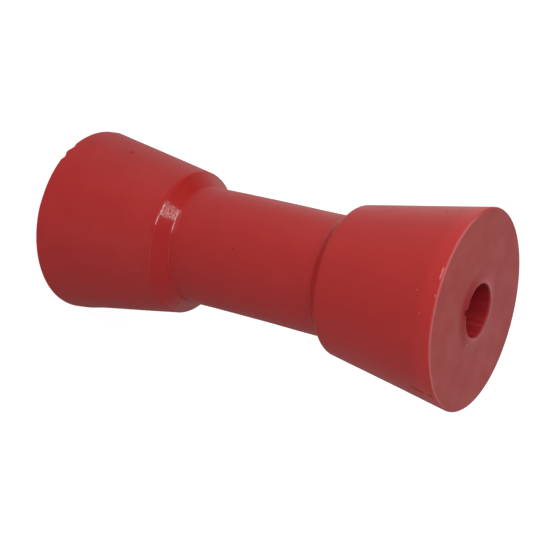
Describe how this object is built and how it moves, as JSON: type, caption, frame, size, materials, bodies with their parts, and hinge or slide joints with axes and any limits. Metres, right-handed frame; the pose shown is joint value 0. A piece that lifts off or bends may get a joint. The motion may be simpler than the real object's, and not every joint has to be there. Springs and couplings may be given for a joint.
{
  "type": "boat trailer roller",
  "caption": "Hourglass keel roller for a boat trailer, moulded as one piece, with long cones, a narrow waist and a plain through bore.",
  "frame": {"origin": "on the roller's axis, at the crest of the hub it stands on", "axes": "+Z along the roller's axis and its longest side; -Y is the side of the roller that faces the camera"},
  "size_m": [0.0638, 0.0638, 0.15],
  "materials": {
    "polyurethane": "cast red polyurethane, satin, with matte end faces"
  },
  "bodies": {
    "root": {"roller": "polyurethane"}
  },
  "joints": []
}
